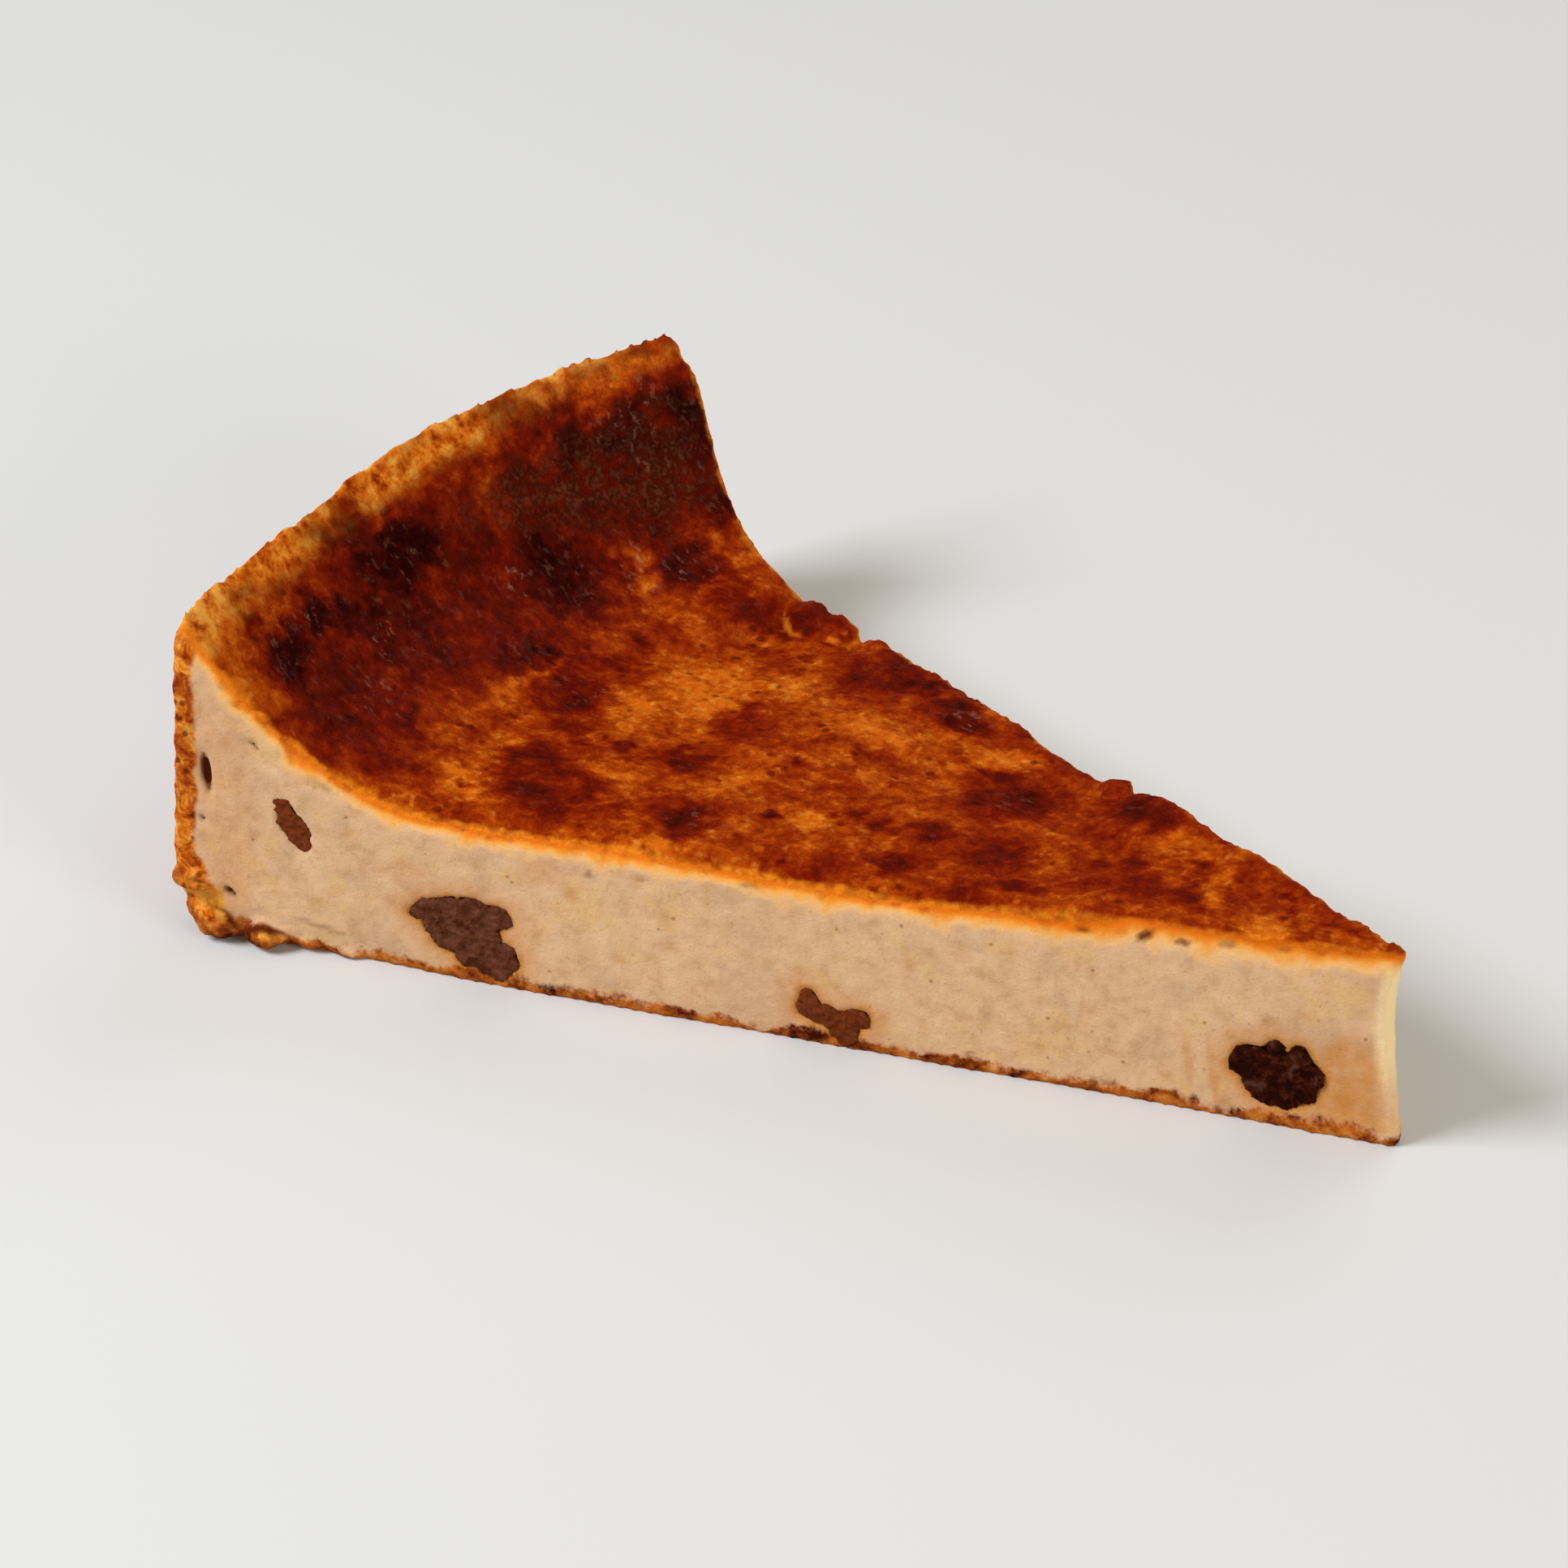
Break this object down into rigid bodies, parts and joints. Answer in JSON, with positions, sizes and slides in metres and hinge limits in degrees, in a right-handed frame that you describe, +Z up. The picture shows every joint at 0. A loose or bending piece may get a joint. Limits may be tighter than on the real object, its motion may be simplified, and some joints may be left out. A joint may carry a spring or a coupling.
{
  "type": "slice of bread pudding",
  "caption": "Wedge of baked bread pudding lying on its base, with a scorched glossy top, a raised rim with a browned wall, and raisins in its pale cut sides.",
  "frame": {"origin": "middle of the base of the slice's box", "axes": "+X from the rim to the tip, +Y from the near cut to the far cut, +Z up"},
  "size_m": [0.1164, 0.0778, 0.0352],
  "materials": {
    "pudding": "baked: glossy browned skin with darker scorched patches on the top, rougher browned wall, and a pale pinkish tan crumb on the cut sides",
    "raisin": "dark wrinkled raisin, moist where the knife went through"
  },
  "bodies": {
    "root": {"pudding": "pudding", "raisin_near_rim": "raisin", "raisin_near_middle": "raisin", "raisin_near_tip": "raisin", "raisin_scrap": "raisin", "raisin_far_rim": "raisin", "raisin_far_middle": "raisin", "raisin_far_tip": "raisin"}
  },
  "joints": []
}
